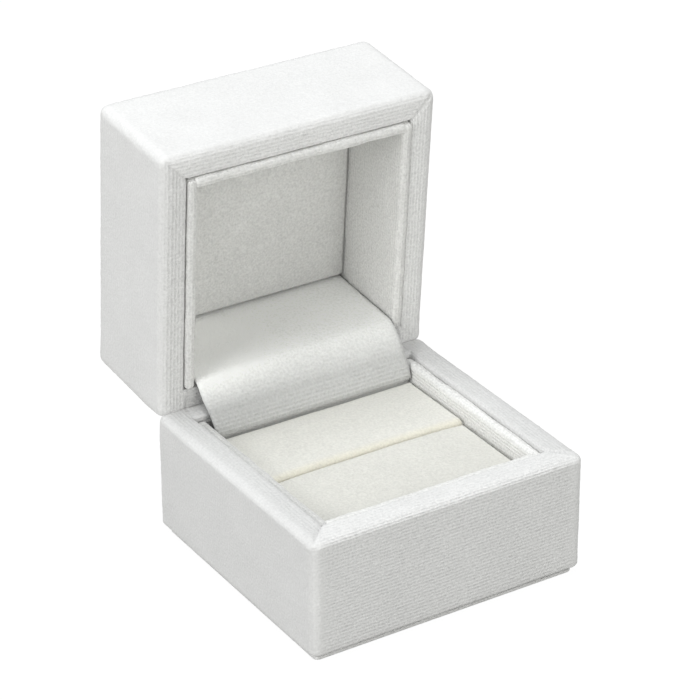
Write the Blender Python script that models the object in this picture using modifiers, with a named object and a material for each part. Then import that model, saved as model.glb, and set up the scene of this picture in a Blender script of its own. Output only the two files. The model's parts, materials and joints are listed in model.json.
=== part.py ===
"""Velvet ring box with a hinged lid, standing open.

Metres, +Z up. The origin is the centre of the underside, +X is to the right
and +Y to the back. The lid is drawn shut, relative to the hinge axis, and an
empty on that axis swings it open.
"""

import math

import bmesh
import bpy
from mathutils import Matrix, Vector

# Outside of the box
BOX_WIDTH = 0.0610
BOX_DEPTH = 0.0580
BASE_HEIGHT = 0.0268
LID_HEIGHT = 0.0256
PARTING_GAP = 0.0003
OPEN_ANGLE = math.radians(85.0)

# Walls: velvet, glue line, board, glue line, velvet
GAP = 0.0003
VELVET = 0.0006
BOARD = 0.0033
OUTER_EDGE_RADIUS = 0.0016
HEM_RADIUS = 0.0010
INNER_EDGE_RADIUS = 0.0010
TURN_IN = 0.0080
TURN_UNDER = 0.0070
BOTTOM_PANEL = 0.0008
BOTTOM_PANEL_INSET = 0.0008
BOTTOM_PANEL_EDGE = 0.0003

# Padded lining boards inside the walls
LINING = 0.0018
LINING_EDGE = 0.0007
BASE_LINING_DROP = 0.0009
LID_LINING_PROUD = 0.0006

# Ring pads, with the slot for the ring between them
PAD_COVER = 0.0005
PAD_SIDE_GAP = 0.0004
PAD_DRAW_IN = 0.0003
PAD_CROWN = 0.0005
PAD_EDGE_ROUND = 0.0011
FRONT_PAD_TOP = 0.0228
REAR_PAD_TOP = 0.0233
SLOT_WIDTH = 0.0006
SLOT_Y = 0.0005

# Pad on the inside of the lid's top
LID_CARD = 0.0010
LID_PAD = 0.0012
LID_PAD_CROWN = 0.0008

# Hinge: two leaves of strip steel rolled round a pin, and a bow spring
HINGE_LENGTH = 0.0320
MIDDLE_KNUCKLE = 0.0120
PIN_RADIUS = 0.00035
PIN_CLEARANCE = 0.00015
LEAF = 0.00035
LEAF_LEG = 0.0085
HINGE_INSET = 0.00105
SPRING = 0.0004
SPRING_WIDTH = 0.0080
SPRING_SEAT_GAP = 0.0004
SPRING_BOW = 0.0065

# Velvet flap over the hinge, from behind the rear pad to the lid pad
FLAP = 0.0006
FLAP_SIDE_GAP = 0.0005
FLAP_LID_OFFSET = 0.0078
FLAP_BULGE = 0.0007
FLAP_BULGE_RISE = 0.0005
FLAP_BEND = 0.0025

ROUND_STEPS = 4
CIRCLE_STEPS = 20

# Sizes that follow from the ones above
HALF_X = BOX_WIDTH / 2
HALF_Y = BOX_DEPTH / 2
SKIN = VELVET + GAP
WALL = 2 * SKIN + BOARD
LINING_OUT = WALL + GAP
LINING_IN = LINING_OUT + LINING
BOARD_EDGE = OUTER_EDGE_RADIUS - SKIN
COVER_BOTTOM = BOTTOM_PANEL + GAP
BOARD_BOTTOM = COVER_BOTTOM + SKIN
FLOOR_TOP = BOARD_BOTTOM + BOARD
LID_RIM = BASE_HEIGHT + PARTING_GAP
LID_TOP = LID_RIM + LID_HEIGHT
LID_CEILING = LID_TOP - SKIN - BOARD
KNUCKLE_BORE = PIN_RADIUS + PIN_CLEARANCE
KNUCKLE = KNUCKLE_BORE + LEAF
HINGE_Y = HALF_Y - HINGE_INSET
HINGE_Z = BASE_HEIGHT + PARTING_GAP / 2
HINGE_NOTCH = KNUCKLE + GAP
BASE_REAR_BOARD_TOP = HINGE_Z - HINGE_NOTCH
LID_REAR_BOARD_BOTTOM = HINGE_Z + HINGE_NOTCH
LEAF_BACK = HALF_Y - WALL - GAP
LEAF_FRONT = LEAF_BACK - LEAF
FLAP_LID_Y = HALF_Y - FLAP_LID_OFFSET
FLAP_BASE_Y = LEAF_FRONT - SPRING_SEAT_GAP - SPRING - GAP - FLAP - 2 * SPRING_SEAT_GAP
PAD_BACK = FLAP_BASE_Y - FLAP / 2 - PAD_SIDE_GAP
PAD_HALF_X = HALF_X - LINING_IN - PAD_SIDE_GAP
PAD_FRONT = -(HALF_Y - LINING_IN - PAD_SIDE_GAP)


def clear_scene():
    for thing in list(bpy.data.objects):
        bpy.data.objects.remove(thing, do_unlink=True)


def collection(name):
    group = bpy.data.collections.new(name)
    bpy.context.scene.collection.children.link(group)
    return group


def material(name, colour, roughness, metallic=0.0):
    made = bpy.data.materials.new(name)
    made.use_nodes = True
    shader = made.node_tree.nodes["Principled BSDF"]
    shader.inputs["Base Color"].default_value = (*colour, 1.0)
    shader.inputs["Roughness"].default_value = roughness
    shader.inputs["Metallic"].default_value = metallic
    return made


clear_scene()
PARTS = collection("velvet_ring_box")
CUTTERS = collection("cutters")
WHITE_VELVET = material("white_velvet", (0.80, 0.81, 0.79), 0.95)
LINING_VELVET = material("lining_velvet", (0.74, 0.75, 0.74), 0.95)
CREAM_VELVET = material("cream_velvet", (0.80, 0.79, 0.73), 0.95)
GREY_BOARD = material("grey_board", (0.45, 0.43, 0.40), 0.90)
WHITE_FOAM = material("white_foam", (0.82, 0.81, 0.77), 0.90)
HINGE_STEEL = material("hinge_steel", (0.62, 0.62, 0.63), 0.35, 1.0)

LID_HINGE = bpy.data.objects.new("lid_hinge", None)
LID_HINGE.location = (0.0, HINGE_Y, HINGE_Z)
LID_HINGE.rotation_euler = (-OPEN_ANGLE, 0.0, 0.0)
PARTS.objects.link(LID_HINGE)


def opened(y, z):
    """Where a point of the shut lid, in the YZ plane, lies once it is open."""
    along = Vector((0.0, y - HINGE_Y, z - HINGE_Z))
    turned = Matrix.Rotation(-OPEN_ANGLE, 3, "X") @ along
    return turned.y + HINGE_Y, turned.z + HINGE_Z


def place(name, mesh, finish, on_lid=False):
    """Links a mesh drawn in box coordinates; a lid piece hangs on the hinge."""
    piece = bpy.data.objects.new(name, mesh)
    if on_lid:
        mesh.transform(Matrix.Translation((0.0, -HINGE_Y, -HINGE_Z)))
        piece.parent = LID_HINGE
    if finish is None:
        piece.hide_render = True
        piece.display_type = "WIRE"
        CUTTERS.objects.link(piece)
    else:
        mesh.materials.append(finish)
        PARTS.objects.link(piece)
    return piece


def finished_mesh(name, bm):
    mesh = bpy.data.meshes.new(name)
    bm.to_mesh(mesh)
    bm.free()
    return mesh


def box_bmesh(low, high):
    low, high = Vector(low), Vector(high)
    bm = bmesh.new()
    bmesh.ops.create_cube(bm, size=1.0)
    bmesh.ops.scale(bm, vec=high - low, verts=bm.verts)
    bmesh.ops.translate(bm, vec=(low + high) / 2, verts=bm.verts)
    return bm


def soften(piece, radius, steps=2):
    """Rounds every edge of a piece."""
    bevel = piece.modifiers.new("rounded_edges", "BEVEL")
    bevel.width = radius
    bevel.segments = steps
    bevel.limit_method = "NONE"


def board(name, low, high, finish, on_lid=False, edge=0.0):
    piece = place(name, finished_mesh(name, box_bmesh(low, high)), finish, on_lid)
    if edge > 0.0:
        soften(piece, edge)
    return piece


def cut(piece, cutter):
    boolean = piece.modifiers.new("cut_" + cutter.name, "BOOLEAN")
    boolean.operation = "DIFFERENCE"
    boolean.object = cutter


def outline_mesh(name, outlines, half_length):
    """A solid with its outline in the YZ plane, running along X."""
    curve = bpy.data.curves.new(name, "CURVE")
    curve.dimensions = "2D"
    curve.fill_mode = "BOTH"
    curve.extrude = half_length
    for points in outlines:
        spline = curve.splines.new("POLY")
        spline.points.add(len(points) - 1)
        spline.use_cyclic_u = True
        for point, (y, z) in zip(spline.points, points):
            point.co = (y, z, 0.0, 1.0)
    return curve_to_mesh(name, curve)


def curve_to_mesh(name, curve):
    """The curve's surface, turned so that its own XY plane stands in YZ."""
    holder = bpy.data.objects.new(name + "_curve", curve)
    bpy.context.scene.collection.objects.link(holder)
    bpy.context.view_layer.update()
    evaluated = holder.evaluated_get(bpy.context.evaluated_depsgraph_get())
    mesh = bpy.data.meshes.new_from_object(evaluated)
    bpy.data.objects.remove(holder, do_unlink=True)
    bm = bmesh.new()
    bm.from_mesh(mesh)
    bmesh.ops.remove_doubles(bm, verts=bm.verts, dist=1e-7)
    bm.to_mesh(mesh)
    bm.free()
    mesh.transform(Matrix(((0, 0, 1, 0), (1, 0, 0, 0), (0, 1, 0, 0), (0, 0, 0, 1))))
    return mesh


def arc(centre_y, centre_z, radius, start, end, steps=CIRCLE_STEPS):
    """Points from one angle to another, measured from +Y towards +Z."""
    turn = (end - start) / steps
    angles = [start + turn * i for i in range(steps + 1)]
    return [(centre_y + radius * math.cos(a), centre_z + radius * math.sin(a)) for a in angles]


def strip(name, knots, width, thickness, finish, steps):
    """A strip of even thickness along a smooth path of Bezier knots."""
    curve = bpy.data.curves.new(name, "CURVE")
    curve.dimensions = "2D"
    curve.fill_mode = "NONE"
    curve.extrude = width / 2
    curve.resolution_u = steps
    spline = curve.splines.new("BEZIER")
    spline.bezier_points.add(len(knots) - 1)
    for knot, (back, point, forward) in zip(spline.bezier_points, knots):
        knot.handle_left_type = "FREE"
        knot.handle_right_type = "FREE"
        knot.co = (*point, 0.0)
        knot.handle_left = (*back, 0.0)
        knot.handle_right = (*forward, 0.0)
    piece = place(name, curve_to_mesh(name, curve), finish)
    solid = piece.modifiers.new("thickness", "SOLIDIFY")
    solid.thickness = thickness
    solid.offset = 0.0
    return piece


def bevel_edges(bm, radius, wanted):
    edges = [edge for edge in bm.edges if wanted(edge)]
    bmesh.ops.bevel(
        bm,
        geom=edges,
        offset=radius,
        offset_type="OFFSET",
        segments=ROUND_STEPS,
        profile=0.5,
        affect="EDGES",
    )


def near(a, b):
    return abs(a - b) < 1e-6


def face_at(bm, z):
    return next(f for f in bm.faces if all(near(v.co.z, z) for v in f.verts))


def wrapped_cover(name, low_z, high_z, rim_z, on_lid):
    """Velvet wrapped round the outside, over the rim and down inside the wall."""
    bm = box_bmesh((-HALF_X, -HALF_Y, low_z), (HALF_X, HALF_Y, high_z))
    shut_z = low_z if near(rim_z, high_z) else high_z
    rim = face_at(bm, rim_z)
    bmesh.ops.inset_region(bm, faces=[rim], thickness=WALL, use_even_offset=True)
    inner_edges = list(rim.edges)
    bmesh.ops.delete(bm, geom=[rim], context="FACES_ONLY")
    turned = bmesh.ops.extrude_edge_only(bm, edges=inner_edges)["geom"]
    inwards = math.copysign(TURN_IN, shut_z - rim_z)
    turned_verts = [v for v in turned if isinstance(v, bmesh.types.BMVert)]
    bmesh.ops.translate(bm, vec=(0.0, 0.0, inwards), verts=turned_verts)
    if not on_lid:
        underside = face_at(bm, low_z)
        bmesh.ops.inset_region(bm, faces=[underside], thickness=TURN_UNDER, use_even_offset=True)
        bmesh.ops.delete(bm, geom=[underside], context="FACES_ONLY")
    bmesh.ops.recalc_face_normals(bm, faces=bm.faces)

    def outermost(vert):
        return near(abs(vert.co.x), HALF_X) or near(abs(vert.co.y), HALF_Y)

    def outer_edge(edge):
        corners = all(near(abs(v.co.x), HALF_X) and near(abs(v.co.y), HALF_Y) for v in edge.verts)
        hem = not on_lid and all(near(v.co.z, low_z) for v in edge.verts)
        return corners and not hem

    def hem_edge(edge):
        return all(near(v.co.z, low_z) and outermost(v) for v in edge.verts)

    def inner_rim_edge(edge):
        return all(near(v.co.z, rim_z) and not outermost(v) for v in edge.verts) and all(
            near(abs(v.co.x), HALF_X - WALL) or near(abs(v.co.y), HALF_Y - WALL) for v in edge.verts
        )

    bevel_edges(bm, INNER_EDGE_RADIUS, inner_rim_edge)
    bevel_edges(bm, OUTER_EDGE_RADIUS, outer_edge)
    if not on_lid:
        bevel_edges(bm, HEM_RADIUS, hem_edge)
    mesh = finished_mesh(name, bm)
    mesh.shade_smooth()
    mesh.set_sharp_from_angle(angle=math.radians(40.0))
    piece = place(name, mesh, WHITE_VELVET, on_lid)
    solid = piece.modifiers.new("velvet", "SOLIDIFY")
    solid.thickness = VELVET
    solid.offset = -1.0
    solid.use_even_offset = True
    return piece


def wall_boards(prefix, low_z, high_z, rear_low_z, rear_high_z, on_lid):
    """Four wall boards, the front and rear ones held between the side ones."""
    out_x, out_y = HALF_X - SKIN, HALF_Y - SKIN
    in_x, in_y = out_x - BOARD, out_y - BOARD
    between = in_x - GAP
    for side, sign in (("left", -1), ("right", 1)):
        near_x, far_x = sorted((sign * in_x, sign * out_x))
        name = f"{prefix}_{side}_board"
        board(name, (near_x, -out_y, low_z), (far_x, out_y, high_z), GREY_BOARD, on_lid, BOARD_EDGE)
    front = (-between, -out_y, low_z), (between, -in_y, high_z)
    rear = (-between, in_y, rear_low_z), (between, out_y, rear_high_z)
    board(f"{prefix}_front_board", *front, GREY_BOARD, on_lid, BOARD_EDGE)
    board(f"{prefix}_rear_board", *rear, GREY_BOARD, on_lid, BOARD_EDGE)
    return in_x - GAP, in_y - GAP


def linings(prefix, low_z, high_z, on_lid):
    """Padded boards on the front and side walls; the flap hides the rear one."""
    out_x, out_y = HALF_X - LINING_OUT, HALF_Y - LINING_OUT
    in_x, in_y = HALF_X - LINING_IN, HALF_Y - LINING_IN
    for side, sign in (("left", -1), ("right", 1)):
        near_x, far_x = sorted((sign * in_x, sign * out_x))
        low, high = (near_x, -out_y, low_z), (far_x, out_y, high_z)
        board(f"{prefix}_{side}_lining", low, high, LINING_VELVET, on_lid, LINING_EDGE)
    between = in_x - GAP
    low, high = (-between, -out_y, low_z), (between, -in_y, high_z)
    board(f"{prefix}_front_lining", low, high, LINING_VELVET, on_lid, LINING_EDGE)


def base_shell():
    name = "base_bottom_panel"
    half_x, half_y = HALF_X - BOTTOM_PANEL_INSET, HALF_Y - BOTTOM_PANEL_INSET
    low, high = (-half_x, -half_y, 0.0), (half_x, half_y, BOTTOM_PANEL)
    board(name, low, high, WHITE_VELVET, edge=BOTTOM_PANEL_EDGE)
    wall_top = BASE_HEIGHT - SKIN
    in_x, in_y = wall_boards(
        "base", BOARD_BOTTOM, wall_top, BOARD_BOTTOM, min(wall_top, BASE_REAR_BOARD_TOP), False
    )
    board("base_floor_board", (-in_x, -in_y, BOARD_BOTTOM), (in_x, in_y, FLOOR_TOP), GREY_BOARD)
    linings("base", FLOOR_TOP + GAP, BASE_HEIGHT - BASE_LINING_DROP, False)
    return wrapped_cover("base_cover", COVER_BOTTOM, BASE_HEIGHT, BASE_HEIGHT, False)


def lid_shell():
    wall_bottom = LID_RIM + SKIN
    wall_top = LID_TOP - SKIN
    in_x, in_y = wall_boards(
        "lid", wall_bottom, wall_top, max(wall_bottom, LID_REAR_BOARD_BOTTOM), wall_top, True
    )
    board("lid_top_board", (-in_x, -in_y, LID_CEILING), (in_x, in_y, wall_top), GREY_BOARD, True)
    linings("lid", LID_RIM - LID_LINING_PROUD, LID_CEILING - GAP, True)
    return wrapped_cover("lid_cover", LID_RIM, LID_TOP, LID_RIM, True)


def cushion_bmesh(low, high, crown, draw_in, edge_round, cuts=7, up=1.0):
    """A block with a crowned top, rounded top edges and sides drawn in between its corners."""
    low, high = Vector(low), Vector(high)
    centre, half = (low + high) / 2, (high - low) / 2
    bm = box_bmesh(low, high)
    flat = [edge for edge in bm.edges if near(edge.verts[0].co.z, edge.verts[1].co.z)]
    bmesh.ops.subdivide_edges(bm, edges=flat, cuts=cuts, use_grid_fill=True)
    crowned_z = high.z if up > 0 else low.z
    for vert in bm.verts:
        across = (vert.co.x - centre.x) / half.x
        along = (vert.co.y - centre.y) / half.y
        on_top = near(vert.co.z, crowned_z)
        on_x_side, on_y_side = near(abs(across), 1.0), near(abs(along), 1.0)
        if on_top:
            swell = (1.0 - across**4) * (1.0 - along**4)
            vert.co.z -= up * crown * (1.0 - swell)
        pull_x = draw_in * (1.0 - along**2) if on_x_side else 0.0
        pull_y = draw_in * (1.0 - across**2) if on_y_side else 0.0
        vert.co.x -= math.copysign(pull_x, across)
        vert.co.y -= math.copysign(pull_y, along)
    top_z = crowned_z - up * crown
    rim = [e for e in bm.edges if all(near(v.co.z, top_z) for v in e.verts)]
    bmesh.ops.bevel(bm, geom=rim, offset=edge_round, segments=3, profile=0.5, affect="EDGES")
    return bm


def ring_pad(side, front_y, back_y, top_z):
    """A foam block in a velvet cover that is open underneath."""
    bottom = FLOOR_TOP + GAP
    low, high = (-PAD_HALF_X, front_y, bottom), (PAD_HALF_X, back_y, top_z)
    bm = cushion_bmesh(low, high, PAD_CROWN, PAD_DRAW_IN, PAD_EDGE_ROUND)
    under = [f for f in bm.faces if all(near(v.co.z, bottom) for v in f.verts)]
    bmesh.ops.delete(bm, geom=under, context="FACES")
    mesh = finished_mesh(side + "_pad_cover", bm)
    mesh.shade_smooth()
    cover = place(side + "_pad_cover", mesh, CREAM_VELVET)
    solid = cover.modifiers.new("velvet", "SOLIDIFY")
    solid.thickness = PAD_COVER
    solid.offset = -1.0
    solid.use_even_offset = True

    inset = PAD_COVER + GAP
    low = (-PAD_HALF_X + inset, front_y + inset, bottom)
    high = (PAD_HALF_X - inset, back_y - inset, top_z - inset)
    bm = cushion_bmesh(low, high, PAD_CROWN, PAD_DRAW_IN, PAD_EDGE_ROUND, cuts=5)
    foam = place(side + "_pad_foam", finished_mesh(side + "_pad_foam", bm), WHITE_FOAM)
    foam.data.shade_smooth()


def ring_pads():
    ring_pad("front", PAD_FRONT, SLOT_Y - SLOT_WIDTH / 2, FRONT_PAD_TOP)
    ring_pad("rear", SLOT_Y + SLOT_WIDTH / 2, PAD_BACK, REAR_PAD_TOP)


def lid_pad():
    """A thin crowned pad on a card, glued to the underside of the lid's top."""
    half_x = HALF_X - LINING_IN - GAP
    front, back = -(HALF_Y - LINING_IN - GAP), FLAP_LID_Y - FLAP / 2 - GAP
    card_top = LID_CEILING - GAP
    card_bottom = card_top - LID_CARD
    pad_top = card_bottom - GAP
    pad_bottom = pad_top - LID_PAD - LID_PAD_CROWN
    board("lid_pad_card", (-half_x, front, card_bottom), (half_x, back, card_top), GREY_BOARD, True)
    low, high = (-half_x, front, pad_bottom), (half_x, back, pad_top)
    bm = cushion_bmesh(low, high, LID_PAD_CROWN, 0.0, LID_PAD / 3, up=-1.0)
    pad = place("lid_pad", finished_mesh("lid_pad", bm), LINING_VELVET, True)
    pad.data.shade_smooth()


def hinge_leaf(name, upwards, on_lid):
    """Strip steel: a leg on the wall, a plate over the board's edge, a rolled knuckle."""
    start = math.radians(-90.0)
    meet = math.asin((KNUCKLE - LEAF) / KNUCKLE)
    roll = arc(0.0, 0.0, KNUCKLE, start, math.radians(180.0) + meet)
    back, front = LEAF_BACK - HINGE_Y, LEAF_FRONT - HINGE_Y
    toe = -KNUCKLE - LEAF_LEG
    profile = [(front, toe), (back, toe), (back, -KNUCKLE), *roll, (front, LEAF - KNUCKLE)]
    bore = arc(0.0, 0.0, KNUCKLE_BORE, 0.0, math.radians(360.0))[:-1]

    def in_box(points):
        return [(HINGE_Y + y, HINGE_Z + upwards * -z) for y, z in points]

    mesh = outline_mesh(name, [in_box(profile), in_box(bore)], HINGE_LENGTH / 2)
    bm = bmesh.new()
    bm.from_mesh(mesh)
    bmesh.ops.recalc_face_normals(bm, faces=bm.faces)
    bm.to_mesh(mesh)
    bm.free()
    return place(name, mesh, HINGE_STEEL, on_lid)


def knuckle_cutter(name, from_x, to_x, on_lid):
    """Clears the space of the other leaf's knuckle."""
    reach = HINGE_NOTCH
    low, high = (from_x, HINGE_Y - reach, HINGE_Z - reach), (to_x, HINGE_Y + reach, HINGE_Z + reach)
    return place(name, finished_mesh(name, box_bmesh(low, high)), None, on_lid)


def hinge(base_cover, lid_cover):
    base_leaf = hinge_leaf("hinge_base_leaf", -1.0, False)
    lid_leaf = hinge_leaf("hinge_lid_leaf", 1.0, True)
    middle = MIDDLE_KNUCKLE / 2
    end = HINGE_LENGTH / 2 + GAP
    cut(base_leaf, knuckle_cutter("middle_knuckle_space", -middle - GAP, middle + GAP, False))
    cut(lid_leaf, knuckle_cutter("left_knuckle_space", -end, -middle, True))
    cut(lid_leaf, knuckle_cutter("right_knuckle_space", middle, end, True))

    bm = bmesh.new()
    bmesh.ops.create_cone(
        bm,
        cap_ends=True,
        segments=CIRCLE_STEPS,
        radius1=PIN_RADIUS,
        radius2=PIN_RADIUS,
        depth=HINGE_LENGTH,
    )
    turned = Matrix.Translation((0.0, HINGE_Y, HINGE_Z)) @ Matrix.Rotation(math.radians(90.0), 4, "Y")
    bmesh.ops.transform(bm, matrix=turned, verts=bm.verts)
    place("hinge_pin", finished_mesh("hinge_pin", bm), HINGE_STEEL)

    hinge_notch("base", base_cover, False)
    hinge_notch("lid", lid_cover, True)


def hinge_notch(prefix, cover, on_lid):
    """Opens the velvet of the rear rim for the leaf's plate and the knuckles."""
    half = HINGE_LENGTH / 2 + GAP
    front = LEAF_FRONT - GAP
    roll = arc(HINGE_Y, HINGE_Z, HINGE_NOTCH, math.radians(-90.0), math.radians(90.0))
    profile = [*roll, (front, HINGE_Z + HINGE_NOTCH), (front, HINGE_Z - HINGE_NOTCH)]
    name = prefix + "_hinge_notch"
    cutter = place(name, outline_mesh(name, [profile], half), None, on_lid)
    cut(cover, cutter)


def hinge_spring():
    """A bow of spring steel from the toe of one leaf to the toe of the other."""
    seat_y = LEAF_FRONT - SPRING_SEAT_GAP - SPRING / 2
    reach = KNUCKLE + LEAF_LEG - SPRING_SEAT_GAP
    foot = Vector((seat_y, HINGE_Z - reach))
    head = Vector(opened(seat_y, HINGE_Z + reach))
    chord = head - foot
    out = Vector((-chord.y, chord.x)).normalized()
    half = chord.length / 2
    radius = (half**2 + SPRING_BOW**2) / (2 * SPRING_BOW)
    centre = (foot + head) / 2 - out * (radius - SPRING_BOW)
    start = math.atan2(*(foot - centre).yx) % math.tau
    end = math.atan2(*(head - centre).yx) % math.tau
    quarter = (end - start) / 2
    lever = 4 / 3 * math.tan(quarter / 4) * radius
    knots = []
    for angle in (start, start + quarter, end):
        point = centre + radius * Vector((math.cos(angle), math.sin(angle)))
        along = lever * Vector((-math.sin(angle), math.cos(angle)))
        knots.append((point - along, point, point + along))
    strip("hinge_spring", knots, SPRING_WIDTH, SPRING, HINGE_STEEL, 8)


def hinge_flap():
    """Velvet that hangs from the lid pad, bends over the hinge and tucks in behind the rear pad."""
    bulge_y = FLAP_BASE_Y - FLAP_BULGE
    bulge_z = BASE_HEIGHT - FLAP_BULGE_RISE
    tail = Vector((FLAP_BASE_Y, FLOOR_TOP + GAP))
    pad_level = Vector((FLAP_BASE_Y, REAR_PAD_TOP))
    belly = Vector((bulge_y, bulge_z))
    shelf = Vector(opened(FLAP_LID_Y, LID_RIM + GAP))
    head = Vector(opened(FLAP_LID_Y, LID_CEILING - GAP))
    rise = Vector((0.0, (pad_level.y - tail.y) / 3))
    swell = Vector((0.0, (belly.y - pad_level.y) / 3))
    lift = Vector((0.0, FLAP_BEND))
    run = (head - shelf) / 3
    reach = run.normalized() * FLAP_BEND
    knots = [
        (tail - rise, tail, tail + rise),
        (pad_level - rise, pad_level, pad_level + swell),
        (belly - swell, belly, belly + lift),
        (shelf - reach, shelf, shelf + run),
        (head - run, head, head + run),
    ]
    width = 2 * (HALF_X - LINING_IN - FLAP_SIDE_GAP)
    strip("hinge_flap", knots, width, FLAP, WHITE_VELVET, 10)


base_cover_piece = base_shell()
lid_cover_piece = lid_shell()
ring_pads()
lid_pad()
hinge(base_cover_piece, lid_cover_piece)
hinge_spring()
hinge_flap()
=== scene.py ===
"""Looks of the open velvet ring box: pile, ribs, padding, light and camera."""

import json
import math

import bmesh
import bpy
from mathutils import Matrix, Vector, noise


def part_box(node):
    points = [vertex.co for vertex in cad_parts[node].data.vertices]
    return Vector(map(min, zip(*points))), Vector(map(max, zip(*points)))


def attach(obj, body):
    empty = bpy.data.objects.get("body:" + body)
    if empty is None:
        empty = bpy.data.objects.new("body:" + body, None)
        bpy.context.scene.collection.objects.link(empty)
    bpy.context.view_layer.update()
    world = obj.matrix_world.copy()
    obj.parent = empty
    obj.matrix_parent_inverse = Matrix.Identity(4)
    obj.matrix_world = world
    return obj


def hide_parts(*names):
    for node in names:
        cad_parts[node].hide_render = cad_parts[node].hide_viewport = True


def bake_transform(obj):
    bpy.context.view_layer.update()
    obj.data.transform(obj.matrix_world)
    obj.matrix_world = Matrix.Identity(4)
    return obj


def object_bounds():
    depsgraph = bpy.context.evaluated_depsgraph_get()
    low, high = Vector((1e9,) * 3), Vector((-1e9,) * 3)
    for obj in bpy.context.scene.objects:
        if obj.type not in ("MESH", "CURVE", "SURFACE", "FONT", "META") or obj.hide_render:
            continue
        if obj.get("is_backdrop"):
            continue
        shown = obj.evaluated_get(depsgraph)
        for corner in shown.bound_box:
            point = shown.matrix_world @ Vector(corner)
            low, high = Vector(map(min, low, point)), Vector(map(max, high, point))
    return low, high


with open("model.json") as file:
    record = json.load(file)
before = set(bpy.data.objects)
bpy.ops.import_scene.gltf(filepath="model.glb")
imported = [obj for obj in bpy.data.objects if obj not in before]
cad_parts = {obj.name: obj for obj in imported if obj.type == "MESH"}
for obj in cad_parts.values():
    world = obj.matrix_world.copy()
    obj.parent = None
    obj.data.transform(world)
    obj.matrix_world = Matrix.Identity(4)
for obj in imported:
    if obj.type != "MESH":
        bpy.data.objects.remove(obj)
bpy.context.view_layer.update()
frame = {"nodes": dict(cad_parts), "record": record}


# Table and daylight.
# The box stands on a wide pale table in even light from all round, with
# broad soft lamps overhead, on the left and in front.
TABLE_SIZE = 6.0
TABLE_DROP = 0.0002
TABLE_COLOUR = (0.50, 0.50, 0.49, 1.0)
TABLE_ROUGHNESS = 0.9
TABLE_GLOW = 0.86
TABLE_GLOW_LEVEL = 1.12
ROUND_LIGHT = 0.42
ROUND_COLOUR = (1.0, 1.0, 0.985, 1.0)
WHITE = (1.0, 1.0, 1.0, 1.0)
LAMP_AIM = Vector((0.0, 0.01, 0.04))

bpy.ops.object.select_all(action="DESELECT")
bpy.ops.mesh.primitive_plane_add(size=TABLE_SIZE, location=(0.0, 0.0, -TABLE_DROP))
table = bpy.context.object
table.name = "table"
table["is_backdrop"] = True

table_paint = bpy.data.materials.new("pale_table")
table_paint.use_nodes = True
nodes, links = table_paint.node_tree.nodes, table_paint.node_tree.links
table_shader = nodes["Principled BSDF"]
table_shader.inputs["Base Color"].default_value = TABLE_COLOUR
table_shader.inputs["Roughness"].default_value = TABLE_ROUGHNESS
table_shader.inputs["Specular IOR Level"].default_value = 0.0
seen = nodes.new("ShaderNodeLightPath")
glow = nodes.new("ShaderNodeEmission")
glow.inputs["Color"].default_value = WHITE
glow.inputs["Strength"].default_value = TABLE_GLOW_LEVEL
share = nodes.new("ShaderNodeMath")
share.operation = "MULTIPLY"
share.inputs[1].default_value = TABLE_GLOW
blended = nodes.new("ShaderNodeMixShader")
links.new(seen.outputs["Is Camera Ray"], share.inputs[0])
links.new(share.outputs["Value"], blended.inputs["Fac"])
links.new(table_shader.outputs["BSDF"], blended.inputs[1])
links.new(glow.outputs["Emission"], blended.inputs[2])
links.new(blended.outputs["Shader"], nodes["Material Output"].inputs["Surface"])
table.data.materials.append(table_paint)

daylight = bpy.data.worlds.new("daylight")
daylight.use_nodes = True
nodes, links = daylight.node_tree.nodes, daylight.node_tree.links
around = nodes["Background"]
around.inputs["Color"].default_value = ROUND_COLOUR
around.inputs["Strength"].default_value = ROUND_LIGHT
backdrop = nodes.new("ShaderNodeBackground")
backdrop.inputs["Color"].default_value = WHITE
seen = nodes.new("ShaderNodeLightPath")
glossy = nodes.new("ShaderNodeMath")
glossy.operation = "MAXIMUM"
clear = nodes.new("ShaderNodeMath")
clear.operation = "MAXIMUM"
blended = nodes.new("ShaderNodeMixShader")
links.new(seen.outputs["Is Camera Ray"], glossy.inputs[0])
links.new(seen.outputs["Is Glossy Ray"], glossy.inputs[1])
links.new(glossy.outputs["Value"], clear.inputs[0])
links.new(seen.outputs["Is Transmission Ray"], clear.inputs[1])
links.new(clear.outputs["Value"], blended.inputs["Fac"])
links.new(around.outputs["Background"], blended.inputs[1])
links.new(backdrop.outputs["Background"], blended.inputs[2])
links.new(blended.outputs["Shader"], nodes["World Output"].inputs["Surface"])
bpy.context.scene.world = daylight


def soft_lamp(name, place, width, power, colour):
    """A round lamp that points at the box."""
    bpy.ops.object.light_add(type="AREA", location=place)
    lamp = bpy.context.object
    lamp.name = name
    lamp.rotation_euler = (LAMP_AIM - Vector(place)).to_track_quat("-Z", "Y").to_euler()
    lamp.data.shape = "DISK"
    lamp.data.size = width
    lamp.data.energy = power
    lamp.data.color = colour


soft_lamp("overhead_lamp", (-0.10, 0.10, 0.95), width=0.60, power=4.9, colour=(0.96, 0.98, 1.0))
soft_lamp("left_lamp", (-0.95, -0.20, 0.45), width=0.60, power=3.9, colour=(1.0, 1.0, 1.0))
soft_lamp("front_lamp", (0.05, -0.95, 0.42), width=0.70, power=2.6, colour=(1.0, 1.0, 0.97))


# Camera.
# A long lens on the left, looking down on the box, turned a touch off level.
VIEW_AZIMUTH = math.radians(-31.958)
VIEW_ELEVATION = math.radians(28.165)
VIEW_ROLL = math.radians(-0.339)
VIEW_DISTANCE = 0.61282
VIEW_AIM = Vector((0.00043, 0.00720, 0.04200))
LENS = 161.5
SENSOR = 36.0

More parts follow.
